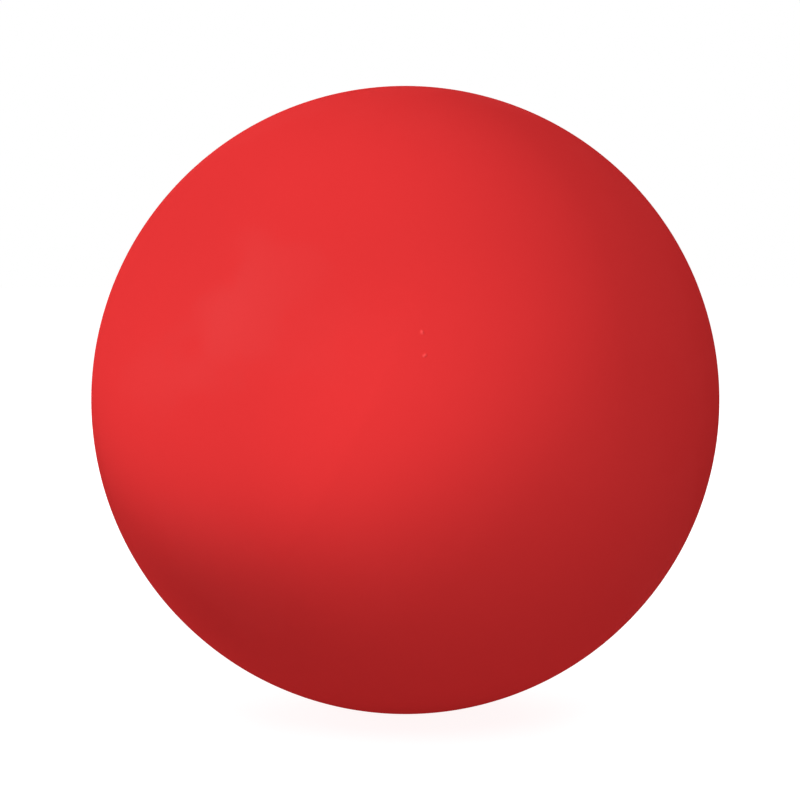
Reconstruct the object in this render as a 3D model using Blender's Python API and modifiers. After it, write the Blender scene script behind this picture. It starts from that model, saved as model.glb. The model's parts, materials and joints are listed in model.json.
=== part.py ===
"""A hollow red rubber dog ball: two cemented half shells with a reed squeaker pressed into the rear one.

The ball's centre is the origin, +Z is up, and the moulding axis runs along Y. The seam between the
half shells lies in the XZ plane, and the squeaker's vent opens at the +Y end, on the ball's far side.
All sizes are in metres.
"""

import math

import bmesh
import bpy
from mathutils import Matrix, Vector

# Driving dimensions of the rubber ball
BALL_DIAMETER = 0.0635
SHELL_WALL = 0.0045
CEMENT_THICKNESS = 0.0003
CEMENT_SETBACK = 0.0001

# Driving dimensions of the squeaker's seat in the rear half shell
COLLAR_WALL = 0.0030
COLLAR_GRIP = 0.0070
COLLAR_FILLET = 0.0012
PORT_LIP_FILLET = 0.0004

# Driving dimensions of the squeaker barrel
BORE_DIAMETER = 0.0060
BARREL_WALL = 0.0012
FLANGE_DIAMETER = 0.0130
FLANGE_EDGE = 0.0012
FLANGE_FILLET = 0.0003
FACE_RECESS = 0.00025
END_WALL = 0.0015
VENT_DIAMETER = 0.0024
VENT_CHAMFER = 0.0003
BEAD_HEIGHT = 0.0007
BEAD_LENGTH = 0.0015
BARREL_TAIL = 0.0006

# Driving dimensions of the reed, and of the tone board and wedge that hold it
REED_WIDTH = 0.0030
REED_THICKNESS = 0.00015
REED_ROOT = 0.0018
REED_FREE = 0.0046
TROUGH_WIDTH = 0.0020
TROUGH_DEPTH = 0.0015
HEAD_LENGTH = 0.0026
TIP_LAND = 0.0004
LAY_ANGLE = math.radians(6.0)

# Gaps between pieces that fit together, and between the reed and what clamps it
FIT_CLEARANCE = 0.0002
REED_CLEARANCE = 0.0002

# How finely round shapes are divided
BALL_SEGMENTS = 64
OUTER_RINGS = 16
INNER_RINGS = 12
BARREL_SEGMENTS = 40
DOME_RINGS = 5
FILLET_STEPS = 4
TIP_STEPS = 10
SMOOTH_ANGLE = math.radians(30.0)
AXIS_MERGE = 1e-6

# Sizes of the ball that follow
BALL_RADIUS = BALL_DIAMETER / 2
HOLLOW_RADIUS = BALL_RADIUS - SHELL_WALL
RIM_FACE = CEMENT_THICKNESS / 2

# Sizes of the squeaker that follow, as radii and as places along Y from the outside in
BORE_RADIUS = BORE_DIAMETER / 2
BARREL_RADIUS = BORE_RADIUS + BARREL_WALL
FLANGE_RADIUS = FLANGE_DIAMETER / 2
VENT_RADIUS = VENT_DIAMETER / 2
BEAD_RADIUS = BARREL_RADIUS + BEAD_HEIGHT
PORT_RADIUS = FLANGE_RADIUS + FIT_CLEARANCE
COLLAR_BORE = BARREL_RADIUS + FIT_CLEARANCE
COLLAR_RADIUS = COLLAR_BORE + COLLAR_WALL
FACE_RADIUS = BALL_RADIUS - FACE_RECESS
FLANGE_SEAT = math.sqrt(FACE_RADIUS**2 - FLANGE_RADIUS**2) - FLANGE_EDGE
PORT_FLOOR = FLANGE_SEAT - FIT_CLEARANCE
COLLAR_END = PORT_FLOOR - COLLAR_GRIP
BEAD_SHOULDER = COLLAR_END - FIT_CLEARANCE
BEAD_END = BEAD_SHOULDER - BEAD_LENGTH
BARREL_END = BEAD_END - BARREL_TAIL
BORE_END = FACE_RADIUS - END_WALL
INSERT_RADIUS = BORE_RADIUS - FIT_CLEARANCE
HEAD_OUTER = BORE_END - FIT_CLEARANCE
HEAD_INNER = HEAD_OUTER - HEAD_LENGTH
REED_REAR = HEAD_INNER - FIT_CLEARANCE
CLAMP_LINE = REED_REAR - REED_ROOT
REED_TIP = CLAMP_LINE - REED_FREE
BOARD_TIP = REED_TIP - TIP_LAND
BED_HEIGHT = -(REED_THICKNESS / 2 + REED_CLEARANCE)
WEDGE_UNDERSIDE = REED_THICKNESS / 2 + REED_CLEARANCE
CUT_MARGIN = 4 * BORE_RADIUS


def clear_scene():
    """Empties the scene, so that the script starts from nothing."""
    for obj in list(bpy.data.objects):
        bpy.data.objects.remove(obj, do_unlink=True)


def new_collection(name, hidden=False):
    collection = bpy.data.collections.new(name)
    collection.hide_render = hidden
    bpy.context.scene.collection.children.link(collection)
    return collection


def new_material(name, colour, roughness, metallic=0.0):
    material = bpy.data.materials.new(name)
    material.use_nodes = True
    shader = material.node_tree.nodes["Principled BSDF"]
    shader.inputs["Base Color"].default_value = (*colour, 1.0)
    shader.inputs["Roughness"].default_value = roughness
    shader.inputs["Metallic"].default_value = metallic
    material.diffuse_color = (*colour, 1.0)
    return material


def sphere_arc(radius, start, end, rings):
    """Points (radius, height) on a sphere's profile, between two angles from the +Y pole."""
    angles = [start + (end - start) * i / rings for i in range(rings + 1)]
    return [(radius * math.sin(a), radius * math.cos(a)) for a in angles]


def angle_at_radius(sphere, radius):
    """Angle from the pole at which a sphere's profile is this far from the axis."""
    return math.asin(radius / sphere)


def angle_at_height(sphere, height):
    """Angle from the pole at which a sphere's profile is at this height."""
    return math.acos(height / sphere)


def fillet(before, corner, after, radius):
    """Points of an arc that rounds a profile's corner, no larger than its two sides allow."""
    corner = Vector(corner)
    to_before = Vector(before) - corner
    to_after = Vector(after) - corner
    half_angle = to_before.angle(to_after) / 2
    reach = min(radius / math.tan(half_angle), 0.45 * to_before.length, 0.45 * to_after.length)
    bisector = (to_before.normalized() + to_after.normalized()).normalized()
    centre = corner + bisector * (reach / math.cos(half_angle))
    first = corner + to_before.normalized() * reach - centre
    last = corner + to_after.normalized() * reach - centre
    steps = [i / FILLET_STEPS for i in range(FILLET_STEPS + 1)]
    spokes = [first.normalized().slerp(last.normalized(), step) for step in steps]
    return [tuple(centre + spoke * first.length) for spoke in spokes]


def rounded(profile, corners):
    """A closed profile with a fillet at each corner, given as {index in the profile: radius}."""
    points = []
    for index, point in enumerate(profile):
        if index in corners:
            after = profile[(index + 1) % len(profile)]
            points += fillet(profile[index - 1], point, after, corners[index])
        else:
            points.append(point)
    return points


def place(obj, collection, material=None):
    collection.objects.link(obj)
    if material:
        obj.data.materials.append(material)
    return obj


def shade(mesh):
    mesh.shade_smooth()
    mesh.set_sharp_from_angle(angle=SMOOTH_ANGLE)


def baked(obj):
    """Replaces an object's mesh by its evaluated one, and drops the modifiers that made it."""
    bpy.context.view_layer.update()
    evaluated = obj.evaluated_get(bpy.context.evaluated_depsgraph_get())
    mesh = bpy.data.meshes.new_from_object(evaluated)
    obj.modifiers.clear()
    obj.data = mesh
    mesh.name = obj.name
    shade(mesh)
    return obj


def turned(name, profile, segments, collection, material, closed=True):
    """A solid of revolution about Y. The profile runs down its outer side, from +Y to -Y."""
    mesh = bpy.data.meshes.new(name)
    edges = [(i, i + 1) for i in range(len(profile) - 1)]
    if closed:
        edges.append((len(profile) - 1, 0))
    mesh.from_pydata([(r, y, 0.0) for r, y in profile], edges, [])
    obj = place(bpy.data.objects.new(name, mesh), collection, material)
    screw = obj.modifiers.new("Turn", "SCREW")
    screw.axis = "Y"
    screw.steps = segments
    screw.render_steps = segments
    screw.use_merge_vertices = True
    screw.merge_threshold = AXIS_MERGE
    return baked(obj)


def rod(name, radius, outer, inner, collection, material):
    """A round bar along Y between two places on the axis."""
    mesh = bpy.data.meshes.new(name)
    shape = bmesh.new()
    along_y = Matrix.Translation((0.0, (outer + inner) / 2, 0.0)) @ Matrix.Rotation(math.pi / 2, 4, "X")
    bmesh.ops.create_cone(
        shape, cap_ends=True, segments=BARREL_SEGMENTS, radius1=radius, radius2=radius,
        depth=outer - inner, matrix=along_y,
    )
    shape.to_mesh(mesh)
    shape.free()
    return place(bpy.data.objects.new(name, mesh), collection, material)


def cutting_box(name, low, high, collection):
    """A box between two corners, kept out of renders and drawn as a wire."""
    low, high = Vector(low), Vector(high)
    mesh = bpy.data.meshes.new(name)
    shape = bmesh.new()
    size = Matrix.Diagonal((*(high - low), 1.0))
    bmesh.ops.create_cube(shape, size=1.0, matrix=Matrix.Translation((low + high) / 2) @ size)
    shape.to_mesh(mesh)
    shape.free()
    box = place(bpy.data.objects.new(name, mesh), collection)
    box.hide_render = True
    box.display_type = "WIRE"
    return box


def cut(obj, cutter):
    boolean = obj.modifiers.new("Cut " + cutter.name, "BOOLEAN")
    boolean.operation = "DIFFERENCE"
    boolean.solver = "EXACT"
    boolean.object = cutter


def front_half_shell(parts, rubber):
    """The plain moulded half, which closes the ball on the side that is photographed."""
    outer = sphere_arc(BALL_RADIUS, math.pi - angle_at_height(BALL_RADIUS, RIM_FACE), math.pi, OUTER_RINGS)
    inner = sphere_arc(HOLLOW_RADIUS, math.pi, math.pi - angle_at_height(HOLLOW_RADIUS, RIM_FACE), INNER_RINGS)
    return turned("front_half_shell", outer + inner, BALL_SEGMENTS, parts, rubber)


def rear_half_shell(parts, rubber):
    """The half with the squeaker's seat: a stepped port outside and a gripping collar inside."""
    port_edge = angle_at_radius(BALL_RADIUS, PORT_RADIUS)
    outer = sphere_arc(BALL_RADIUS, port_edge, angle_at_height(BALL_RADIUS, RIM_FACE), OUTER_RINGS)
    collar_root = angle_at_radius(HOLLOW_RADIUS, COLLAR_RADIUS)
    inner = sphere_arc(HOLLOW_RADIUS, angle_at_height(HOLLOW_RADIUS, RIM_FACE), collar_root, INNER_RINGS)
    seat = [
        (COLLAR_RADIUS, COLLAR_END),
        (COLLAR_BORE, COLLAR_END),
        (COLLAR_BORE, PORT_FLOOR),
        (PORT_RADIUS, PORT_FLOOR),
    ]
    profile = outer + inner + seat
    root, collar_edge = len(outer + inner) - 1, len(outer + inner)
    corners = {0: PORT_LIP_FILLET, root: COLLAR_FILLET, collar_edge: COLLAR_FILLET}
    return turned("rear_half_shell", rounded(profile, corners), BALL_SEGMENTS, parts, rubber)


def seam_cement(parts, cement):
    """The cured cement between the two rims, set back a little from the ball's surface."""
    outer, inner = BALL_RADIUS - CEMENT_SETBACK, HOLLOW_RADIUS + CEMENT_SETBACK
    profile = [(outer, RIM_FACE), (outer, -RIM_FACE), (inner, -RIM_FACE), (inner, RIM_FACE)]
    return turned("seam_cement", profile, BALL_SEGMENTS, parts, cement)


def squeaker_barrel(parts, plastic):
    """The flanged tube: a domed face with the vent, a bore for the reed, and a bead that hooks the collar."""
    dome = sphere_arc(
        FACE_RADIUS, angle_at_radius(FACE_RADIUS, VENT_RADIUS), angle_at_radius(FACE_RADIUS, FLANGE_RADIUS), DOME_RINGS
    )
    tube = [
        (FLANGE_RADIUS, FLANGE_SEAT),
        (BARREL_RADIUS, FLANGE_SEAT),
        (BARREL_RADIUS, BEAD_SHOULDER),
        (BEAD_RADIUS, BEAD_SHOULDER),
        (BARREL_RADIUS, BEAD_END),
        (BARREL_RADIUS, BARREL_END),
        (BORE_RADIUS, BARREL_END),
        (BORE_RADIUS, BORE_END),
        (VENT_RADIUS, BORE_END),
    ]
    corners = {0: VENT_CHAMFER, len(dome) - 1: FLANGE_FILLET}
    return turned("squeaker_barrel", rounded(dome + tube, corners), BARREL_SEGMENTS, parts, plastic)


def tone_board(parts, cutters, plastic):
    """The insert that the reed beats on: a round head, and a flat bed over an air trough."""
    board = rod("tone_board", INSERT_RADIUS, HEAD_OUTER, BOARD_TIP, parts, plastic)
    above_bed = cutting_box(
        "above_bed", (-CUT_MARGIN, BOARD_TIP - CUT_MARGIN, BED_HEIGHT), (CUT_MARGIN, HEAD_INNER, CUT_MARGIN), cutters
    )
    trough = cutting_box(
        "trough",
        (-TROUGH_WIDTH / 2, BOARD_TIP - CUT_MARGIN, BED_HEIGHT - TROUGH_DEPTH),
        (TROUGH_WIDTH / 2, HEAD_OUTER + CUT_MARGIN, -BED_HEIGHT),
        cutters,
    )
    lay = cutting_box("lay", (-CUT_MARGIN, -CUT_MARGIN, 0.0), (CUT_MARGIN, 0.0, CUT_MARGIN), cutters)
    lay.location = (0.0, CLAMP_LINE, BED_HEIGHT)
    lay.rotation_euler = (LAY_ANGLE, 0.0, 0.0)
    for cutter in (above_bed, trough, lay):
        cut(board, cutter)
    return baked(board)


def reed_wedge(parts, cutters, plastic):
    """The block that fills the bore above the reed's root and clamps it against the bed."""
    wedge = rod("reed_wedge", INSERT_RADIUS, REED_REAR, CLAMP_LINE, parts, plastic)
    below = cutting_box(
        "below_wedge",
        (-CUT_MARGIN, CLAMP_LINE - CUT_MARGIN, -CUT_MARGIN),
        (CUT_MARGIN, REED_REAR + CUT_MARGIN, WEDGE_UNDERSIDE),
        cutters,
    )
    cut(wedge, below)
    return baked(wedge)


def reed(parts, brass):
    """The vibrating tongue, a strip with a rounded tip. Its origin is on the clamp line it bends about."""
    half = REED_WIDTH / 2
    tip_centre = half - REED_FREE
    tip = [math.pi + math.pi * i / TIP_STEPS for i in range(TIP_STEPS + 1)]
    outline = [(half, REED_ROOT), (-half, REED_ROOT)]
    outline += [(half * math.cos(a), tip_centre + half * math.sin(a)) for a in tip]
    curve = bpy.data.curves.new("reed", "CURVE")
    curve.dimensions = "2D"
    curve.fill_mode = "BOTH"
    curve.extrude = REED_THICKNESS / 2
    spline = curve.splines.new("POLY")
    spline.points.add(len(outline) - 1)
    spline.use_cyclic_u = True
    for point, (x, y) in zip(spline.points, outline):
        point.co = (x, y, 0.0, 1.0)
    tongue = place(bpy.data.objects.new("reed", curve), parts, brass)
    tongue.location = (0.0, CLAMP_LINE, 0.0)
    return tongue


def main():
    clear_scene()
    parts = new_collection("dog_ball")
    cutters = new_collection("cutters", hidden=True)
    rubber = new_material("red_rubber", (0.77, 0.034, 0.034), 0.5)
    cement = new_material("rubber_cement", (0.42, 0.02, 0.02), 0.65)
    plastic = new_material("natural_plastic", (0.80, 0.78, 0.72), 0.4)
    brass = new_material("reed_brass", (0.72, 0.50, 0.20), 0.3, metallic=1.0)
    centre = bpy.data.objects.new("ball_centre", None)
    parts.objects.link(centre)
    pieces = [
        front_half_shell(parts, rubber),
        rear_half_shell(parts, rubber),
        seam_cement(parts, cement),
        squeaker_barrel(parts, plastic),
        tone_board(parts, cutters, plastic),
        reed_wedge(parts, cutters, plastic),
        reed(parts, brass),
    ]
    for piece in pieces:
        piece.parent = centre


main()
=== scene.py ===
"""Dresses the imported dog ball: rubber half shells, cemented seam and reed squeaker, in a plain studio.

The ball's centre is the origin, +Z is up, and the photographed side faces -Y. All sizes are in metres.
"""

from __future__ import annotations

import json
import logging
import math
from dataclasses import dataclass
from enum import Enum
from typing import Any, Mapping, Sequence

import bmesh
import bpy
from mathutils import Matrix, Vector

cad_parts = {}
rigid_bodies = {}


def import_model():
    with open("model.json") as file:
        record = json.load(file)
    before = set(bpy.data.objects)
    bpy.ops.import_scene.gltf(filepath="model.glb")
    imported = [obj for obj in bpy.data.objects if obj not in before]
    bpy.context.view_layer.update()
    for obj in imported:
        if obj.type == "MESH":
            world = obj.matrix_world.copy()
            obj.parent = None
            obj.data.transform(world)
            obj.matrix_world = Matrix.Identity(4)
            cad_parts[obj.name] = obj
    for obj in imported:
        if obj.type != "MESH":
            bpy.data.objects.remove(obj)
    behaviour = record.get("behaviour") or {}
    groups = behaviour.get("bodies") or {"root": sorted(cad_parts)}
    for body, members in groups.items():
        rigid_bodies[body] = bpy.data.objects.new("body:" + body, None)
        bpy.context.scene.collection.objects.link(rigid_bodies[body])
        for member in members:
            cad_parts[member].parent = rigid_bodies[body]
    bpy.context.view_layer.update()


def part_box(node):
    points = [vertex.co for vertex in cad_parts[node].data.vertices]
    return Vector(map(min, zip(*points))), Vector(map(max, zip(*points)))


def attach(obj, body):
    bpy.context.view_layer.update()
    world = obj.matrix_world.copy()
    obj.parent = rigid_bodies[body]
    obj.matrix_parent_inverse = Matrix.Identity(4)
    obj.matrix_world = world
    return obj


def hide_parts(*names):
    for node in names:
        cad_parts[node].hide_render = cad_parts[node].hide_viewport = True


LOG = logging.getLogger("dog_ball")
# The pips' mark: it raises the pips, and the rubber paints their highlight with it.
PIP_MARK = "pip"
WHITE = (1.0, 1.0, 1.0, 1.0)
# Points of a turned mesh that are closer than this are merged.
WELD_DISTANCE = 1e-6
# Corners of a turned mesh that are sharper than this stay sharp.
SHARP_ANGLE = math.radians(40.0)
# A fillet takes up no more than this share of the sides beside it.
FILLET_SHARE = 0.45
# Edges of a cut piece that are sharper than this are rounded, in this many stretches.
EDGE_ANGLE = math.radians(30.0)
EDGE_STEPS = 3

Colour = tuple[float, float, float]
Rgba = tuple[float, float, float, float]
Point = tuple[float, float]
Profile = list[Point]


class Body(Enum):
    """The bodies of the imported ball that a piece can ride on."""

    BALL = "ball"
    REED = "reed"


class Slot(Enum):
    """The record's material slots."""

    RUBBER = "red_rubber"
    CEMENT = "rubber_cement"
    PLASTIC = "natural_plastic"
    BRASS = "reed_brass"


class Term:
    """One value in a node graph, with the operators that the graphs use."""

    def __init__(self, graph: Graph, socket: bpy.types.NodeSocket | None) -> None:
        """Wraps a node's output, or None for a node that ends a tree."""
        self.graph = graph
        self.socket = socket

    def output(self, name: str) -> Term:
        """Another output of the same node, by name."""
        return Term(self.graph, self.socket.node.outputs[name])

    def math(self, operation: str, *operands: Value) -> Term:
        """The result of a Math node on these operands."""
        return self.graph.add("ShaderNodeMath", {"operation": operation}, dict(enumerate(operands)))

    def __add__(self, other: Value) -> Term:
        """self + other."""
        return self.math("ADD", self, other)

    def __radd__(self, other: Value) -> Term:
        """other + self."""
        return self.math("ADD", other, self)

    def __sub__(self, other: Value) -> Term:
        """self - other."""
        return self.math("SUBTRACT", self, other)

    def __rsub__(self, other: Value) -> Term:
        """other - self."""
        return self.math("SUBTRACT", other, self)

    def __mul__(self, other: Value) -> Term:
        """self * other."""
        return self.math("MULTIPLY", self, other)

    def __rmul__(self, other: Value) -> Term:
        """other * self."""
        return self.math("MULTIPLY", other, self)

    def __truediv__(self, other: Value) -> Term:
        """self / other."""
        return self.math("DIVIDE", self, other)

    def __rtruediv__(self, other: Value) -> Term:
        """other / self."""
        return self.math("DIVIDE", other, self)

    def __mod__(self, other: Value) -> Term:
        """self % other."""
        return self.math("FLOORED_MODULO", self, other)

    def __rmod__(self, other: Value) -> Term:
        """other % self."""
        return self.math("FLOORED_MODULO", other, self)

    def __floordiv__(self, other: Value) -> Term:
        """self // other."""
        return self.math("FLOOR", self / other)

    def __rfloordiv__(self, other: Value) -> Term:
        """other // self."""
        return self.math("FLOOR", other / self)

    def __lt__(self, other: Value) -> Term:
        """1 where self is less than other, or else 0."""
        return self.math("LESS_THAN", self, other)

    def __gt__(self, other: Value) -> Term:
        """1 where self is more than other, or else 0."""
        return self.math("GREATER_THAN", self, other)

    def maximum(self, other: Value) -> Term:
        """The larger of two values."""
        return self.math("MAXIMUM", self, other)

    def sine(self) -> Term:
        """Sine of an angle in radians."""
        return self.math("SINE", self)

    def cosine(self) -> Term:
        """Cosine of an angle in radians."""
        return self.math("COSINE", self)

    def swung(self, swing: Value) -> Term:
        """A noise from 0 to 1 made one about 0, with this swing from its lowest to its highest."""
        return (self - 0.5) * swing


Value = Term | float
Paint = Term | Rgba


class Graph:
    """A node tree that is written as calls and expressions."""

    def __init__(self, tree: bpy.types.NodeTree) -> None:
        """Takes over the empty tree of a material, a world or a Geometry Nodes modifier."""
        self.tree = tree

    @staticmethod
    def socket(sockets: Any, key: str | int) -> bpy.types.NodeSocket:
        """A node's usable socket.

        Args:
            sockets: the node's inputs or outputs.
            key: the socket's name, or its place among the usable ones.

        Returns:
            The socket.
        """
        usable = [s for s in sockets if s.enabled]
        if isinstance(key, int):
            return usable[key]
        return next(s for s in usable if s.name == key)

    def add(
        self,
        kind: str,
        settings: Mapping[str, Any] | None = None,
        inputs: Mapping[str | int, Any] | None = None,
        output: str | int = 0,
    ) -> Term:
        """Adds a node.

        Args:
            kind: the node's type.
            settings: its properties, which are set first.
            inputs: a value, a Term or a list of Terms for each socket, by name or place.
            output: the output to return.

        Returns:
            That output.
        """
        node = self.tree.nodes.new(kind)
        for name, value in (settings or {}).items():
            setattr(node, name, value)
        for key, value in (inputs or {}).items():
            target = self.socket(node.inputs, key)
            if isinstance(value, (Term, list)):
                for term in value if isinstance(value, list) else [value]:
                    self.tree.links.new(term.socket, target)
            else:
                target.default_value = value
        return Term(self, self.socket(node.outputs, output) if len(node.outputs) else None)

    def noise(self, place: Term, size: Value, seed: Value, detail: float) -> Term:
        """Seeded noise from 0 to 1, with blobs of this size in metres and this much finer detail."""
        values = {"Vector": place, "Scale": 1.0 / size, "W": seed, "Detail": detail}
        return self.add("ShaderNodeTexNoise", {"noise_dimensions": "4D"}, values)

    def eased(self, value: Term, start: Value, end: Value, first: Value, last: Value) -> Term:
        """A level that eases from first to last while a value goes from start to end."""
        span = {"Value": value, "From Min": start, "From Max": end, "To Min": first, "To Max": last}
        return self.add("ShaderNodeMapRange", {"interpolation_type": "SMOOTHSTEP"}, span)

    def mixed(self, share: Value, first: Paint, second: Paint) -> Term:
        """A colour between two: a share of 0 gives the first, and of 1 the second."""
        values = {"Factor": share, "A": first, "B": second}
        return self.add("ShaderNodeMix", {"data_type": "RGBA"}, values, output="Result")

    def bumped(self, height: Term, depth: float) -> Term:
        """A normal that follows a height from 0 to 1, where 1 stands out by this depth in metres."""
        values = {"Height": height, "Distance": depth, "Strength": 1.0}
        return self.add("ShaderNodeBump", None, values, output="Normal")


def empty_graph(owner: bpy.types.Material | bpy.types.World) -> Graph:
    """A material's or a world's node graph, emptied.

    Args:
        owner: the material or world.

    Returns:
        The graph.
    """
    owner.use_nodes = True
    owner.node_tree.nodes.clear()
    return Graph(owner.node_tree)


def grey(level: float) -> Rgba:
    """An opaque grey."""
    return (level, level, level, 1.0)


class Recipe:
    """A Geometry Nodes tree with named inputs, which turns an object into a finished mesh."""

    def __init__(self, name: str, inputs: Mapping[str, str]) -> None:
        """Makes the tree and its interface.

        Args:
            name: the tree's name.
            inputs: the socket type of each named input, besides the geometry.
        """
        tree = bpy.data.node_groups.new(name, "GeometryNodeTree")
        tree.interface.new_socket("Geometry", in_out="INPUT", socket_type="NodeSocketGeometry")
        self.keys = {
            label: tree.interface.new_socket(label, in_out="INPUT", socket_type=kind).identifier
            for label, kind in inputs.items()
        }
        tree.interface.new_socket("Geometry", in_out="OUTPUT", socket_type="NodeSocketGeometry")
        self.tree = tree
        self.graph = Graph(tree)
        self.source = self.graph.add("NodeGroupInput")

    def input(self, label: str) -> Term:
        """A named input's value inside the tree."""
        return self.source.output(label)

    def finish(self, geometry: Term) -> None:
        """Ends the tree with real geometry that has the material.

        Args:
            geometry: what the tree has made.
        """
        real = self.graph.add("GeometryNodeRealizeInstances", None, {"Geometry": geometry})
        look = {"Geometry": real, "Material": self.input("Material")}
        dressed = self.graph.add("GeometryNodeSetMaterial", None, look)
        self.graph.add("NodeGroupOutput", None, {"Geometry": dressed})

    def bake(self, obj: bpy.types.Object, values: Mapping[str, Any]) -> bpy.types.Object:
        """Runs the tree on an object and keeps the result as its plain mesh.

        A mesh that nodes make from nothing brings an empty first material slot, which is dropped.

        Args:
            obj: the object that the tree starts from.
            values: a value for each named input.

        Returns:
            The same object, with its new mesh, one material and no modifier.
        """
        modifier = obj.modifiers.new(self.tree.name, "NODES")
        modifier.node_group = self.tree
        for label, value in values.items():
            modifier[self.keys[label]] = value
        settle(obj)
        obj.data.materials.pop(index=0)
        return obj


class TurnedSkin(Recipe):
    """Turns a profile about Y, gives its skin a mould's faint unevenness, and raises its vent pips."""

    # The relief of a piece that is neither uneven nor has pips.
    NO_RELIEF = {"Peel Height": 0.0, "Peel Size": 1.0, "Pip Radius": WELD_DISTANCE, "Pip Height": 0.0}
    PEEL_DETAIL = 1.0

    def __init__(self) -> None:
        """Builds the tree."""
        super().__init__(
            "turned_skin",
            {
                "Profile Points": "NodeSocketInt",
                "Segments": "NodeSocketInt",
                "Sharp Angle": "NodeSocketFloat",
                "Peel Height": "NodeSocketFloat",
                "Peel Size": "NodeSocketFloat",
                "Seed": "NodeSocketFloat",
                "Upper Pip": "NodeSocketVector",
                "Upper Ridge": "NodeSocketVector",
                "Lower Pip": "NodeSocketVector",
                "Lower Ridge": "NodeSocketVector",
                "Pip Radius": "NodeSocketFloat",
                "Pip Height": "NodeSocketFloat",
                "Material": "NodeSocketMaterial",
            },
        )
        self.finish(self.shade(self.raise_pips(self.uneven(self.turn()))))

    def piece(
        self,
        name: str,
        profile: Profile,
        segments: int,
        material: bpy.types.Material,
        relief: Mapping[str, Any] = NO_RELIEF,
    ) -> bpy.types.Object:
        """A closed profile turned into a named piece, with this many segments round the axis."""
        sizes = {"Profile Points": len(profile), "Segments": segments, "Sharp Angle": SHARP_ANGLE}
        return self.bake(profile_object(name, profile), {**sizes, **relief, "Material": material})

    def turn(self) -> Term:
        """The closed skin of the turned profile.

        Returns:
            A mesh whose seam and poles are merged.
        """
        graph, points, segments = self.graph, self.input("Profile Points"), self.input("Segments")
        lattice = {"Vertices X": segments + 1, "Vertices Y": points}
        sheet = graph.add("GeometryNodeMeshGrid", None, lattice)
        index = graph.add("GeometryNodeInputIndex")
        here = graph.add("GeometryNodeInputPosition")
        sampled = graph.add(
            "GeometryNodeSampleIndex",
            {"data_type": "FLOAT_VECTOR", "domain": "POINT"},
            {"Geometry": self.input("Geometry"), "Value": here, "Index": index % points},
        )
        split = graph.add("ShaderNodeSeparateXYZ", None, {0: sampled})
        radius, height = split.output("X"), split.output("Y")
        angle = (index // points) * math.tau / segments
        circle = {"X": radius * angle.cosine(), "Y": height, "Z": radius * angle.sine()}
        place = graph.add("ShaderNodeCombineXYZ", None, circle)
        turned = graph.add("GeometryNodeSetPosition", None, {"Geometry": sheet, "Position": place})
        weld = {"Geometry": turned, "Distance": WELD_DISTANCE}
        return graph.add("GeometryNodeMergeByDistance", None, weld)

    def pushed(self, geometry: Term, height: Term) -> Term:
        """A mesh pushed along its normals.

        Args:
            geometry: the mesh.
            height: how far, at each point.

        Returns:
            The pushed mesh.
        """
        normal = self.graph.add("GeometryNodeInputNormal")
        scaled = {"Vector": normal, "Scale": height}
        offset = self.graph.add("ShaderNodeVectorMath", {"operation": "SCALE"}, scaled)
        return self.graph.add("GeometryNodeSetPosition", None, {"Geometry": geometry, "Offset": offset})

    def uneven(self, geometry: Term) -> Term:
        """The mesh with the mould's faint unevenness.

        Args:
            geometry: the mesh.

        Returns:
            The mesh with its skin pushed in and out a little.
        """
        here = self.graph.add("GeometryNodeInputPosition")
        wave = self.graph.noise(here, self.input("Peel Size"), self.input("Seed"), self.PEEL_DETAIL)
        return self.pushed(geometry, wave.swung(self.input("Peel Height")))

    def raise_pips(self, geometry: Term) -> Term:
        """The mesh with a low rounded ridge at each pip.

        Args:
            geometry: the mesh.

        Returns:
            The mesh with its pips.
        """
        graph = self.graph
        ridges = []
        for pip in ("Upper", "Lower"):
            line = {
                "Count": 2,
                "Start Location": self.input(f"{pip} Pip"),
                "Offset": self.input(f"{pip} Ridge"),
            }
            ridges.append(graph.add("GeometryNodeMeshLine", {"mode": "OFFSET"}, line))
        lines = graph.add("GeometryNodeJoinGeometry", None, {"Geometry": ridges})
        edges = {"target_element": "EDGES"}
        near = graph.add("GeometryNodeProximity", edges, {0: lines}, output="Distance")
        rise = graph.eased(near, 0.0, self.input("Pip Radius"), 1.0, 0.0)
        # The mark is kept for the rubber, which paints a lighter red on the pips as a highlight.
        marked = graph.add(
            "GeometryNodeStoreNamedAttribute",
            {"data_type": "FLOAT", "domain": "POINT"},
            {"Geometry": geometry, "Name": PIP_MARK, "Value": rise},
        )
        return self.pushed(marked, rise * self.input("Pip Height"))

    def shade(self, geometry: Term) -> Term:
        """The mesh shaded smooth, with its corners sharp.

        Args:
            geometry: the mesh.

        Returns:
            The shaded mesh.
        """
        smooth = self.graph.add("GeometryNodeSetShadeSmooth", {"domain": "FACE"}, {"Geometry": geometry})
        soft = self.graph.add("GeometryNodeInputMeshEdgeAngle") < self.input("Sharp Angle")
        edges = {"Geometry": smooth, "Shade Smooth": soft}
        return self.graph.add("GeometryNodeSetShadeSmooth", {"domain": "EDGE"}, edges)


def arc(radius: float, start: float, end: float, steps: int) -> Profile:
    """(distance from the axis, height on Y) of points on a sphere, by their angle from the +Y pole."""
    angles = [start + (end - start) * i / steps for i in range(steps + 1)]
    return [(radius * math.sin(a), radius * math.cos(a)) for a in angles]


def direction(right: float, up: float) -> Vector:
    """A unit vector out of the ball's centre.

    Args:
        right: degrees round to the right, from the camera's side.
        up: degrees up.

    Returns:
        The vector.
    """
    turn, rise = math.radians(right), math.radians(up)
    ahead = math.cos(rise)
    return Vector((ahead * math.sin(turn), -ahead * math.cos(turn), math.sin(rise)))


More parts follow.
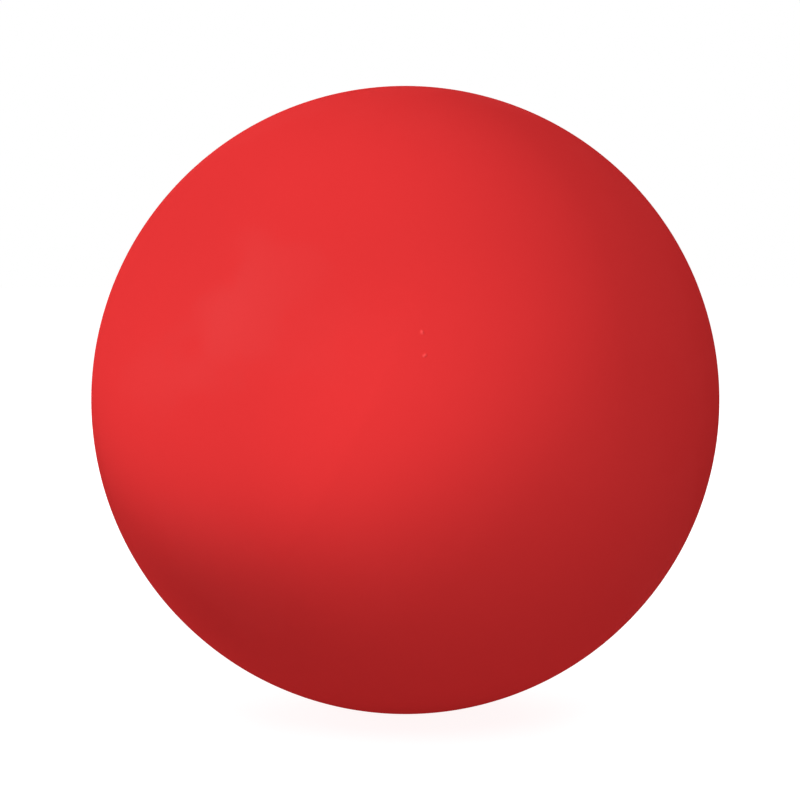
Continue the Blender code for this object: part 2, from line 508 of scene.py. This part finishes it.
def rounded(profile: Profile, corners: Mapping[int, float], steps: int = 6) -> Profile:
    """A closed profile with fillets.

    Args:
        profile: the corner points.
        corners: the fillet radius at each rounded point, by its place in the profile.
        steps: how many stretches a fillet has.

    Returns:
        The rounded profile, which ends on its first point.
    """
    points: Profile = []
    for index, here in enumerate(profile):
        if index not in corners:
            points.append(here)
            continue
        corner = Vector(here)
        back = Vector(profile[index - 1]) - corner
        ahead = Vector(profile[(index + 1) % len(profile)]) - corner
        half = back.angle(ahead) / 2
        reach = min(corners[index] / math.tan(half), FILLET_SHARE * min(back.length, ahead.length))
        centre = corner + (back.normalized() + ahead.normalized()).normalized() * reach / math.cos(half)
        first = corner + back.normalized() * reach - centre
        last = corner + ahead.normalized() * reach - centre
        spokes = [first.normalized().slerp(last.normalized(), i / steps) for i in range(steps + 1)]
        points += [tuple(centre + spoke * first.length) for spoke in spokes]
    return points + points[:1]


def mesh_object(mesh: bpy.types.Mesh) -> bpy.types.Object:
    """An object of the mesh's name, in the scene.

    Args:
        mesh: the mesh.

    Returns:
        The object.
    """
    obj = bpy.data.objects.new(mesh.name, mesh)
    bpy.context.scene.collection.objects.link(obj)
    return obj


def profile_object(name: str, profile: Profile) -> bpy.types.Object:
    """An object that holds a profile's points, ready to be turned.

    Args:
        name: the object's name.
        profile: the points, from +Y to -Y down the outer side.

    Returns:
        The object.
    """
    mesh = bpy.data.meshes.new(name)
    mesh.from_pydata([(r, y, 0.0) for r, y in profile], [], [])
    return mesh_object(mesh)


def shape_object(name: str, shape: bmesh.types.BMesh) -> bpy.types.Object:
    """An object that takes over a shape.

    Args:
        name: the object's name.
        shape: the shape, which is freed.

    Returns:
        The object.
    """
    mesh = bpy.data.meshes.new(name)
    shape.to_mesh(mesh)
    shape.free()
    return mesh_object(mesh)


def bar(name: str, radius: float, start: float, end: float, sides: int) -> bpy.types.Object:
    """A round bar along Y.

    Args:
        name: the object's name.
        radius: the bar's radius.
        start: where it starts on Y.
        end: where it ends on Y.
        sides: how many sides it has.

    Returns:
        The object.
    """
    shape = bmesh.new()
    place = Matrix.Translation((0.0, (start + end) / 2, 0.0)) @ Matrix.Rotation(math.pi / 2, 4, "X")
    size = {"radius1": radius, "radius2": radius, "depth": end - start}
    bmesh.ops.create_cone(shape, cap_ends=True, segments=sides, matrix=place, **size)
    return shape_object(name, shape)


def block(low: Sequence[float], high: Sequence[float], place: Matrix) -> bpy.types.Object:
    """A box to cut with.

    Args:
        low: its lowest corner.
        high: its highest corner.
        place: where those corners are measured from.

    Returns:
        The object.
    """
    start, end = Vector(low), Vector(high)
    middle, size = Matrix.Translation((start + end) / 2), Matrix.Diagonal((*(end - start), 1.0))
    shape = bmesh.new()
    bmesh.ops.create_cube(shape, size=1.0, matrix=place @ middle @ size)
    return shape_object("cutter", shape)


def settle(obj: bpy.types.Object) -> None:
    """Keeps what an object's modifiers make as its plain mesh.

    Args:
        obj: the object, which is left without modifiers.
    """
    bpy.context.view_layer.update()
    evaluated = obj.evaluated_get(bpy.context.evaluated_depsgraph_get())
    mesh = bpy.data.meshes.new_from_object(evaluated)
    obj.modifiers.clear()
    obj.data = mesh
    mesh.name = obj.name


def carve(obj: bpy.types.Object, cutter: bpy.types.Object) -> None:
    """Cuts one object out of another.

    Args:
        obj: the object that is cut.
        cutter: what is cut out, which is removed.
    """
    cut = obj.modifiers.new("cut", "BOOLEAN")
    cut.operation = "DIFFERENCE"
    cut.object = cutter
    settle(obj)
    bpy.data.objects.remove(cutter, do_unlink=True)


def soften(obj: bpy.types.Object, width: float, material: bpy.types.Material) -> None:
    """Rounds a piece's edges, keeps its flats flat, and gives it its material.

    Args:
        obj: the piece.
        width: how wide the rounding is.
        material: the material.
    """
    obj.data.shade_smooth()
    edges = obj.modifiers.new("edges", "BEVEL")
    edges.width = width
    edges.segments = EDGE_STEPS
    edges.limit_method = "ANGLE"
    edges.angle_limit = EDGE_ANGLE
    obj.modifiers.new("flats", "WEIGHTED_NORMAL")
    settle(obj)
    obj.data.materials.clear()
    obj.data.materials.append(material)


def hang(obj: bpy.types.Object, body: Body, node: str) -> None:
    """Puts a finished piece on its body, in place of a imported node.

    Args:
        obj: the finished piece.
        body: the body that it rides on.
        node: the node that it stands for.
    """
    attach(obj, body.value)
    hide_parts(node)
    LOG.info("%s: %d faces, stands for %s", obj.name, len(obj.data.polygons), node)


@dataclass(frozen=True)
class Finish:
    """What every finish shares: a name, and the way its material is started."""

    name: str

    def start(self) -> tuple[bpy.types.Material, Graph, Term]:
        """An empty material.

        Returns:
            The material, its graph, and the piece's own coordinates in metres.
        """
        material = bpy.data.materials.new(self.name)
        graph = empty_graph(material)
        return material, graph, graph.add("ShaderNodeTexCoord", output="Object")

    @staticmethod
    def close(graph: Graph, shader: Mapping[str, Any]) -> None:
        """Ends a graph in one surface shader with these inputs."""
        surface = graph.add("ShaderNodeBsdfPrincipled", None, shader)
        graph.add("ShaderNodeOutputMaterial", None, {"Surface": surface})


@dataclass(frozen=True)
class RubberFinish(Finish):
    """Solid-dyed moulded rubber: a dull, faintly cloudy skin with a soft, patchy sheen, and a painted
    highlight on its vent pips.
    """

    red: Colour = (0.812, 0.0376, 0.0386)
    deep_red: Colour = (0.786, 0.0355, 0.0365)
    # The pips' lighter red: a painted highlight that stands in for their glints.
    pip_highlight_red: Colour = (0.980, 0.0850, 0.0850)
    roughness: float = 0.70
    roughness_swing: float = 0.16
    dull_sheen: float = 0.0040
    full_sheen: float = 0.0245
    sheen_roughness: float = 0.58
    sheen_patches: tuple[float, float] = (0.52, 0.60)
    cloud_size: float = 0.016
    cloud_seed: float = 85.76
    cloud_detail: float = 4.0
    cloud_share: float = 0.7
    grain_size: float = 0.0009
    grain_seed: float = 11.0
    grain_detail: float = 3.0
    grain_depth: float = 0.000010

    def build(self) -> bpy.types.Material:
        """Makes the material.

        Returns:
            The material.
        """
        material, graph, here = self.start()
        cloud = graph.noise(here, self.cloud_size, self.cloud_seed, self.cloud_detail)
        grain = graph.noise(here, self.grain_size, self.grain_seed, self.grain_detail)
        # Painted highlight: the rubber turns a lighter red where the pip mark is, standing in for the
        # pips' glints.
        painted_pip_highlight = graph.add("ShaderNodeAttribute", {"attribute_name": PIP_MARK}, output="Fac")
        tint = cloud * self.cloud_share + grain * (1.0 - self.cloud_share)
        dyed = graph.mixed(tint, (*self.deep_red, 1.0), (*self.red, 1.0))
        self.close(
            graph,
            {
                "Base Color": graph.mixed(painted_pip_highlight, dyed, (*self.pip_highlight_red, 1.0)),
                "Roughness": grain.swung(self.roughness_swing) + self.roughness,
                "Specular IOR Level": 0.0,
                "Coat Weight": graph.eased(cloud, *self.sheen_patches, self.dull_sheen, self.full_sheen),
                "Coat Roughness": self.sheen_roughness,
                "Normal": graph.bumped(grain, self.grain_depth),
            },
        )
        return material


@dataclass(frozen=True)
class CementFinish(Finish):
    """Cured rubber cement: darker than the rubber, dull and a little lumpy."""

    dark: Colour = (0.33, 0.014, 0.015)
    light: Colour = (0.47, 0.024, 0.024)
    roughness: float = 0.66
    roughness_swing: float = 0.2
    sheen: float = 0.015
    lump_size: float = 0.0007
    lump_seed: float = 5.0
    lump_detail: float = 3.0
    lump_depth: float = 0.00003

    def build(self) -> bpy.types.Material:
        """Makes the material.

        Returns:
            The material.
        """
        material, graph, here = self.start()
        lumps = graph.noise(here, self.lump_size, self.lump_seed, self.lump_detail)
        self.close(
            graph,
            {
                "Base Color": graph.mixed(lumps, (*self.dark, 1.0), (*self.light, 1.0)),
                "Roughness": lumps.swung(self.roughness_swing) + self.roughness,
                "Specular IOR Level": 0.0,
                "Coat Weight": lumps * self.sheen,
                "Coat Roughness": self.roughness,
                "Normal": graph.bumped(lumps, self.lump_depth),
            },
        )
        return material


@dataclass(frozen=True)
class PlasticFinish(Finish):
    """Natural, uncoloured moulded plastic: waxy off-white with a fine sparked texture."""

    pale: Colour = (0.82, 0.80, 0.74)
    milky: Colour = (0.76, 0.735, 0.665)
    roughness: float = 0.42
    roughness_swing: float = 0.16
    specular: float = 0.4
    cloud_size: float = 0.004
    cloud_seed: float = 2.0
    cloud_detail: float = 3.0
    spark_size: float = 0.00018
    spark_seed: float = 7.0
    spark_detail: float = 2.0
    spark_depth: float = 0.000006

    def build(self) -> bpy.types.Material:
        """Makes the material.

        Returns:
            The material.
        """
        material, graph, here = self.start()
        cloud = graph.noise(here, self.cloud_size, self.cloud_seed, self.cloud_detail)
        spark = graph.noise(here, self.spark_size, self.spark_seed, self.spark_detail)
        self.close(
            graph,
            {
                "Base Color": graph.mixed(cloud, (*self.milky, 1.0), (*self.pale, 1.0)),
                "Roughness": spark.swung(self.roughness_swing) + self.roughness,
                "Specular IOR Level": self.specular,
                "Normal": graph.bumped(spark, self.spark_depth),
            },
        )
        return material


@dataclass(frozen=True)
class BrassFinish(Finish):
    """Rolled brass strip: a grain along its length and a light, cloudy tarnish."""

    bright: Colour = (0.80, 0.58, 0.25)
    tarnished: Colour = (0.52, 0.34, 0.13)
    roughness: float = 0.305
    grain_swing: float = 0.2
    grain_size: float = 0.00006
    grain_stretch: float = 24.0
    grain_seed: float = 4.0
    grain_detail: float = 2.0
    grain_depth: float = 0.000002
    tarnish_swing: float = 0.15
    tarnish_size: float = 0.0014
    tarnish_seed: float = 9.0
    tarnish_detail: float = 4.0

    def build(self) -> bpy.types.Material:
        """Makes the material.

        Returns:
            The material.
        """
        material, graph, here = self.start()
        rolled = {"Vector": here, "Scale": (1.0, 1.0 / self.grain_stretch, 1.0)}
        along = graph.add("ShaderNodeMapping", None, rolled)
        grain = graph.noise(along, self.grain_size, self.grain_seed, self.grain_detail)
        tarnish = graph.noise(here, self.tarnish_size, self.tarnish_seed, self.tarnish_detail)
        swing = grain.swung(self.grain_swing) + tarnish.swung(self.tarnish_swing)
        self.close(
            graph,
            {
                "Base Color": graph.mixed(tarnish, (*self.bright, 1.0), (*self.tarnished, 1.0)),
                "Metallic": 1.0,
                "Roughness": swing + self.roughness,
                "Normal": graph.bumped(grain, self.grain_depth),
            },
        )
        return material


@dataclass(frozen=True)
class Finishes:
    """The materials that the pieces share."""

    rubber: bpy.types.Material
    cement: bpy.types.Material
    plastic: bpy.types.Material
    brass: bpy.types.Material

    @classmethod
    def build(cls) -> Finishes:
        """Makes every material.

        Returns:
            The materials.
        """
        return cls(
            RubberFinish("moulded_red_rubber").build(),
            CementFinish("cured_rubber_cement").build(),
            PlasticFinish("natural_moulded_plastic").build(),
            BrassFinish("rolled_brass").build(),
        )


@dataclass(frozen=True)
class Pip:
    """A vent pip: a low ridge on the photographed side, placed in degrees and sized in metres, on which
    the rubber paints a highlight.
    """

    right: float
    up: float
    wide: float = 0.0
    tall: float = 0.0

    def ridge(self) -> Vector:
        """From the ridge's start to its end."""
        return Vector((self.wide, 0.0, self.tall))

    def start(self, radius: float) -> Vector:
        """The ridge's start on a ball of this radius."""
        return direction(self.right, self.up) * radius - self.ridge() / 2


@dataclass
class RubberBall:
    """The two half shells and the cement that joins them.

    A floor or an end is a height on +Y from the ball's centre.
    The pips' band, which has finer rings, is in degrees from the -Y pole.
    """

    skin: TurnedSkin
    finishes: Finishes
    radius: float = 0.03175
    wall: float = 0.0045
    seam_gap: float = 0.0003
    rim_edge: float = 0.00012
    cement_setback: float = 0.0001
    cement_round: float = 0.00005
    port_radius: float = 0.0067
    port_floor: float = 0.029422
    port_lip: float = 0.0004
    collar_bore: float = 0.0044
    collar_radius: float = 0.0074
    collar_end: float = 0.022422
    collar_fillet: float = 0.0012
    peel_height: float = 0.000012
    peel_size: float = 0.0045
    upper_pip: Pip = Pip(2.70, 14.56, tall=0.00018)
    lower_pip: Pip = Pip(3.07, 10.89, wide=0.00012, tall=0.00010)
    pip_radius: float = 0.00020
    pip_height: float = 0.00010
    pip_band: tuple[float, float] = (10.2, 15.8)
    front_seed: float = 1.0
    rear_seed: float = 2.0
    front_segments: int = 480
    rear_segments: int = 256
    side_steps: int = 84
    pip_steps: int = 52
    pole_steps: int = 14
    front_hollow_steps: int = 24
    rear_steps: int = 96
    rear_hollow_steps: int = 28
    rim_edge_steps: int = 3
    cement_round_steps: int = 4

    @property
    def hollow(self) -> float:
        """The air chamber's radius."""
        return self.radius - self.wall

    @property
    def rim(self) -> float:
        """How far each rim's face is from the seam's middle plane."""
        return self.seam_gap / 2

    def relief(self, seed: float) -> dict[str, Any]:
        """The turning tree's inputs for a shell's unevenness and pips.

        Args:
            seed: which unevenness it has.

        Returns:
            A value for each of these inputs.
        """
        return {
            "Peel Height": self.peel_height,
            "Peel Size": self.peel_size,
            "Seed": seed,
            "Upper Pip": self.upper_pip.start(self.radius),
            "Upper Ridge": self.upper_pip.ridge(),
            "Lower Pip": self.lower_pip.start(self.radius),
            "Lower Ridge": self.lower_pip.ridge(),
            "Pip Radius": self.pip_radius,
            "Pip Height": self.pip_height,
        }

    def front(self) -> None:
        """The half that is photographed."""
        near, far = (math.pi - math.radians(a) for a in reversed(self.pip_band))
        rim, hollow_rim = (math.pi - math.acos(self.rim / r) for r in (self.radius, self.hollow))
        outer = arc(self.radius, rim, near, self.side_steps)[:-1]
        outer += arc(self.radius, near, far, self.pip_steps)
        outer += arc(self.radius, far, math.pi, self.pole_steps)[1:]
        shell = outer + arc(self.hollow, math.pi, hollow_rim, self.front_hollow_steps)
        edges = {0: self.rim_edge, len(shell) - 1: self.rim_edge}
        profile = rounded(shell, edges, self.rim_edge_steps)
        relief = self.relief(self.front_seed)
        rubber = self.finishes.rubber
        obj = self.skin.piece("ball_front_half", profile, self.front_segments, rubber, relief)
        hang(obj, Body.BALL, "front_half_shell")

    def rear(self) -> None:
        """The half on the far side, with the squeaker's port and collar."""
        port = math.asin(self.port_radius / self.radius)
        root = math.asin(self.collar_radius / self.hollow)
        rim, hollow_rim = (math.acos(self.rim / r) for r in (self.radius, self.hollow))
        outer = arc(self.radius, port, rim, self.rear_steps)
        inner = arc(self.hollow, hollow_rim, root, self.rear_hollow_steps)
        seat = [
            (self.collar_radius, self.collar_end),
            (self.collar_bore, self.collar_end),
            (self.collar_bore, self.port_floor),
            (self.port_radius, self.port_floor),
        ]
        turn = len(outer + inner)
        edges = {
            0: self.port_lip,
            len(outer) - 1: self.rim_edge,
            len(outer): self.rim_edge,
            turn - 1: self.collar_fillet,
            turn: self.collar_fillet,
        }
        profile = rounded(outer + inner + seat, edges)
        relief = self.relief(self.rear_seed)
        rubber = self.finishes.rubber
        obj = self.skin.piece("ball_rear_half", profile, self.rear_segments, rubber, relief)
        hang(obj, Body.BALL, "rear_half_shell")

    def seam(self) -> None:
        """The cement between the rims, with a rounded outer edge."""
        outer, inner = self.radius - self.cement_setback, self.hollow + self.cement_setback
        ring = [(outer, self.rim), (outer, -self.rim), (inner, -self.rim), (inner, self.rim)]
        profile = rounded(ring, {0: self.cement_round, 1: self.cement_round}, self.cement_round_steps)
        obj = self.skin.piece("cement_ring", profile, self.rear_segments, self.finishes.cement)
        hang(obj, Body.BALL, "seam_cement")

    def build(self) -> None:
        """Makes the three pieces."""
        self.front()
        self.rear()
        self.seam()


@dataclass
class Squeaker:
    """The reed squeaker in the rear half shell.

    A seat, a shoulder or an end is a height on +Y from the ball's centre.
    """

    skin: TurnedSkin
    finishes: Finishes
    face_radius: float = 0.0315
    flange_radius: float = 0.0065
    flange_seat: float = 0.029622
    flange_edge: float = 0.0003
    barrel_radius: float = 0.0042
    bore_radius: float = 0.0030
    bore_end: float = 0.0300
    vent_radius: float = 0.0012
    vent_chamfer: float = 0.0003
    bead_radius: float = 0.0049
    bead_shoulder: float = 0.022222
    bead_end: float = 0.020722
    barrel_end: float = 0.020122
    edge: float = 0.00015
    segments: int = 160
    dome_steps: int = 16
    trough_width: float = 0.0020
    trough_depth: float = 0.0015
    lay_angle: float = math.radians(6.0)
    fit_clearance: float = 0.0002
    reed_clearance: float = 0.0002
    insert_edge: float = 0.00006
    insert_sides: int = 96
    reed_edge: float = 0.00002
    tip_steps: int = 48
    cut_margin: float = 0.0120

    def barrel(self) -> None:
        """The flanged barrel, with softened moulded edges."""
        vent = math.asin(self.vent_radius / self.face_radius)
        rim = math.asin(self.flange_radius / self.face_radius)
        dome = arc(self.face_radius, vent, rim, self.dome_steps)
        tube = [
            (self.flange_radius, self.flange_seat),
            (self.barrel_radius, self.flange_seat),
            (self.barrel_radius, self.bead_shoulder),
            (self.bead_radius, self.bead_shoulder),
            (self.barrel_radius, self.bead_end),
            (self.barrel_radius, self.barrel_end),
            (self.bore_radius, self.barrel_end),
            (self.bore_radius, self.bore_end),
            (self.vent_radius, self.bore_end),
        ]
        first = len(dome)
        flange_back, bead_crest, end_outside, end_inside = first, first + 3, first + 5, first + 6
        edges = {0: self.vent_chamfer, first - 1: self.flange_edge}
        edges |= dict.fromkeys((flange_back, bead_crest, end_outside, end_inside), self.edge)
        profile = rounded(dome + tube, edges)
        obj = self.skin.piece("squeaker_tube", profile, self.segments, self.finishes.plastic)
        hang(obj, Body.BALL, "squeaker_barrel")

    def board(self) -> None:
        """The tone board: a round head, and a flat bed over an air trough, with the lay for the reed."""
        low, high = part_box("tone_board")
        reed_low, reed_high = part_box("reed")
        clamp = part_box("reed_wedge")[0].y
        head = reed_high.y + self.fit_clearance
        bed = reed_low.z - self.reed_clearance
        far, half = self.cut_margin, self.trough_width / 2
        slope = Matrix.Translation((0.0, clamp, bed)) @ Matrix.Rotation(self.lay_angle, 4, "X")
        obj = bar("tone_insert", high.x, low.y, high.y, self.insert_sides)
        carve(obj, block((-far, low.y - far, bed), (far, head, far), Matrix()))
        # The trough opens through the head, as far above the reed's plane as the bed is below it.
        trough = (-half, low.y - far, bed - self.trough_depth)
        carve(obj, block(trough, (half, high.y + far, -bed), Matrix()))
        carve(obj, block((-far, -far, 0.0), (far, 0.0, far), slope))
        soften(obj, self.insert_edge, self.finishes.plastic)
        hang(obj, Body.BALL, "tone_board")

    def wedge(self) -> None:
        """The block that clamps the reed's root."""
        low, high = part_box("reed_wedge")
        far = self.cut_margin
        obj = bar("clamp_wedge", high.z, low.y, high.y, self.insert_sides)
        carve(obj, block((-far, low.y - far, -far), (far, high.y + far, low.z), Matrix()))
        soften(obj, self.insert_edge, self.finishes.plastic)
        hang(obj, Body.BALL, "reed_wedge")

    def tongue(self) -> None:
        """The reed: a thin strip with a round tip and rolled edges."""
        low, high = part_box("reed")
        half = high.x
        angles = [math.pi + math.pi * i / self.tip_steps for i in range(self.tip_steps + 1)]
        tip = [(half * math.cos(a), low.y + half + half * math.sin(a)) for a in angles]
        shape = bmesh.new()
        outline = [shape.verts.new((x, y, low.z)) for x, y in [*tip, (half, high.y), (-half, high.y)]]
        face = shape.faces.new(outline)
        raised = bmesh.ops.extrude_face_region(shape, geom=[face])["geom"]
        top = [item for item in raised if isinstance(item, bmesh.types.BMVert)]
        bmesh.ops.translate(shape, verts=top, vec=(0.0, 0.0, high.z - low.z))
        bmesh.ops.recalc_face_normals(shape, faces=shape.faces)
        obj = shape_object("reed_tongue", shape)
        soften(obj, self.reed_edge, self.finishes.brass)
        hang(obj, Body.REED, "reed")

    def build(self) -> None:
        """Makes the four pieces."""
        self.barrel()
        self.board()
        self.wedge()
        self.tongue()


@dataclass(frozen=True)
class Lamp:
    """A studio lamp that faces the ball, and lights matt surfaces, glints in glossy ones, or both.

    Its bearing and height are in degrees: bearing 0 is behind the camera, and 90 is to the right.
    """

    name: str
    bearing: float
    height: float
    distance: float
    power: float
    lights: bool = True
    glints: bool = False

    def away(self) -> Vector:
        """The direction from the ball to the lamp."""
        return direction(self.bearing, self.height)

    def put(self, light: bpy.types.Light, target: Vector) -> None:
        """Hangs a light in its place.

        Args:
            light: the light.
            target: the point that it faces.
        """
        light.energy = self.power
        obj = bpy.data.objects.new(self.name, light)
        obj.location = self.away() * self.distance
        obj.rotation_euler = (obj.location - target).to_track_quat("Z", "Y").to_euler()
        obj.visible_camera = False
        obj.visible_diffuse = self.lights
        obj.visible_glossy = self.glints
        bpy.context.scene.collection.objects.link(obj)


@dataclass(frozen=True)
class SoftLamp(Lamp):
    """A round soft box."""

    width: float = 0.20

    def build(self) -> None:
        """Puts the lamp in the scene."""
        light = bpy.data.lights.new(self.name, "AREA")
        light.shape = "DISK"
        light.size = self.width
        self.put(light, Vector())


@dataclass(frozen=True)
class PoolLamp(Lamp):
    """A spot lamp with a soft-edged pool of light, whose radius is measured at the ball's distance.

    It faces a point that is this far right of the ball's centre and above it, as seen from the lamp.
    """

    pool: float = 0.04
    soft: float = 0.4
    right: float = 0.0
    up: float = 0.0
    bulb: float = 0.005

    def build(self) -> None:
        """Puts the lamp in the scene."""
        light = bpy.data.lights.new(self.name, "SPOT")
        sideways = Vector((0.0, 0.0, 1.0)).cross(self.away()).normalized()
        target = sideways * self.right + self.away().cross(sideways) * self.up
        light.spot_size = 2.0 * math.atan(self.pool / self.distance)
        light.spot_blend = self.soft
        light.shadow_soft_size = self.bulb
        self.put(light, target)


@dataclass
class Studio:
    """A plain pale floor, plain lamps, and the camera at the photograph's angle."""

    floor_height: float = -0.03175
    floor_size: float = 8.0
    floor_grey: float = 0.30
    # The floor's glow at the ball: painted shade, darker than the white it eases to by shadow_reach.
    shaded_floor_glow: float = 0.90
    floor_fill: float = 0.282
    shadow_reach: float = 0.16
    ambient: float = 0.216
    lens: float = 85.0
    sensor: float = 36.0
    nearest: float = 0.005
    camera_height: float = 4.0
    camera_distance: float = 0.19351
    aim_right: float = -0.00053
    lamps: tuple[Lamp, ...] = (
        PoolLamp("key", -47.5, 2.7, 0.60, 5.27, pool=0.0481, soft=0.482, right=0.0068, up=0.0292),
        PoolLamp("side_key", -57.1, 32.0, 0.60, 3.26, pool=0.0926, soft=0.121, right=0.1098, up=-0.0365),
        PoolLamp("top_key", -50.6, 24.2, 0.60, 2.75, pool=0.0817, soft=0.505, right=0.0271, up=0.0798),
        SoftLamp("sheen", -72.0, 26.0, 0.45, 7.5, lights=False, glints=True),
        SoftLamp("front", 0.0, 42.0, 0.45, 0.717),
        SoftLamp("right", 100.0, 45.0, 0.45, 0.078),
        SoftLamp("left", -120.0, 15.0, 0.45, 0.33),
        SoftLamp("low_left", -130.0, 3.0, 0.60, 0.447, width=0.10),
        SoftLamp("back_left", -160.0, 30.0, 0.45, 0.40),
        SoftLamp("back_right", 160.0, 30.0, 0.45, 0.34),
        SoftLamp("back_low", 180.0, 15.0, 0.45, 0.32),
    )

    @staticmethod
    def seen(graph: Graph) -> Term:
        """1 for rays that show the background: the camera's, and those sent on by gloss or glass."""
        path = graph.add("ShaderNodeLightPath", output="Is Camera Ray")
        return path.maximum(path.output("Is Glossy Ray")).maximum(path.output("Is Transmission Ray"))

    def floor(self) -> None:
        """A pale light table: it looks white, glows only faintly on the ball, and keeps the shadow; its
        glow is painted a little darker near the ball, which deepens that shadow.
        """
        half = self.floor_size / 2
        square = [(-half, -half), (half, -half), (half, half), (-half, half)]
        mesh = bpy.data.meshes.new("floor")
        mesh.from_pydata([(x, y, self.floor_height) for x, y in square], [], [(0, 1, 2, 3)])
        material = bpy.data.materials.new("pale_floor")
        graph = empty_graph(material)
        here = graph.add("ShaderNodeTexCoord", output="Object")
        away = graph.add("ShaderNodeVectorMath", {"operation": "LENGTH"}, {0: here}, output="Value")
        # Painted shade: the glow is darker near the ball, out to shadow_reach, which deepens the real
        # shadow there.
        beyond = graph.eased(away, 0.0, self.shadow_reach, 0.0, 1.0)
        glow_shaded_near_ball = graph.mixed(beyond, grey(self.shaded_floor_glow), WHITE)
        bounce = graph.add("ShaderNodeBsdfDiffuse", None, {"Color": grey(self.floor_grey)})
        glow = graph.add("ShaderNodeEmission", None, {"Color": glow_shaded_near_ball})
        fill = graph.add("ShaderNodeEmission", None, {"Color": WHITE, "Strength": self.floor_fill})
        shown = graph.add("ShaderNodeAddShader", None, {0: glow, 1: bounce})
        lit = graph.add("ShaderNodeAddShader", None, {0: fill, 1: bounce})
        surface = graph.add("ShaderNodeMixShader", None, {0: self.seen(graph), 1: lit, 2: shown})
        graph.add("ShaderNodeOutputMaterial", None, {"Surface": surface})
        mesh.materials.append(material)
        mesh_object(mesh)

    def surround(self) -> None:
        """A world that is white where it is seen and gives the ball its fill light."""
        world = bpy.data.worlds.new("white_surround")
        graph = empty_graph(world)
        fill = graph.add("ShaderNodeBackground", None, {"Color": WHITE, "Strength": self.ambient})
        white = graph.add("ShaderNodeBackground", None, {"Color": WHITE, "Strength": 1.0})
        both = graph.add("ShaderNodeMixShader", None, {0: self.seen(graph), 1: fill, 2: white})
        graph.add("ShaderNodeOutputWorld", None, {"Surface": both})
        bpy.context.scene.world = world

    def camera(self) -> None:
        """The camera, a little above the ball's middle and aimed just left of it."""
        rise = math.radians(self.camera_height)
        back = Vector((0.0, -math.cos(rise), math.sin(rise)))
        lens = bpy.data.cameras.new("camera")
        lens.lens = self.lens
        lens.sensor_width = self.sensor
        lens.clip_start = self.nearest
        obj = bpy.data.objects.new("camera", lens)
        place = back * self.camera_distance
        target = Vector((self.aim_right, 0.0, 0.0))
        turn = (place - target).to_track_quat("Z", "Y").to_matrix().to_4x4()
        obj.matrix_world = Matrix.Translation(place) @ turn
        bpy.context.scene.collection.objects.link(obj)
        bpy.context.scene.camera = obj

    def build(self) -> None:
        """Makes the floor, the lights and the camera."""
        self.floor()
        self.surround()
        for lamp in self.lamps:
            lamp.build()
        self.camera()
        bpy.context.scene.view_settings.view_transform = "Standard"
        LOG.info("studio: %d lamps", len(self.lamps))


def empty_scene() -> None:
    """Removes whatever a new file starts with."""
    for obj in list(bpy.data.objects):
        bpy.data.objects.remove(obj, do_unlink=True)


def main() -> None:
    """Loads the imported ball, dresses it and lights it."""
    logging.basicConfig(level=logging.INFO, format="%(name)s: %(message)s")
    empty_scene()
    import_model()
    finishes = Finishes.build()
    skin = TurnedSkin()
    RubberBall(skin, finishes).build()
    Squeaker(skin, finishes).build()
    Studio().build()


if __name__ == "__main__":
    main()
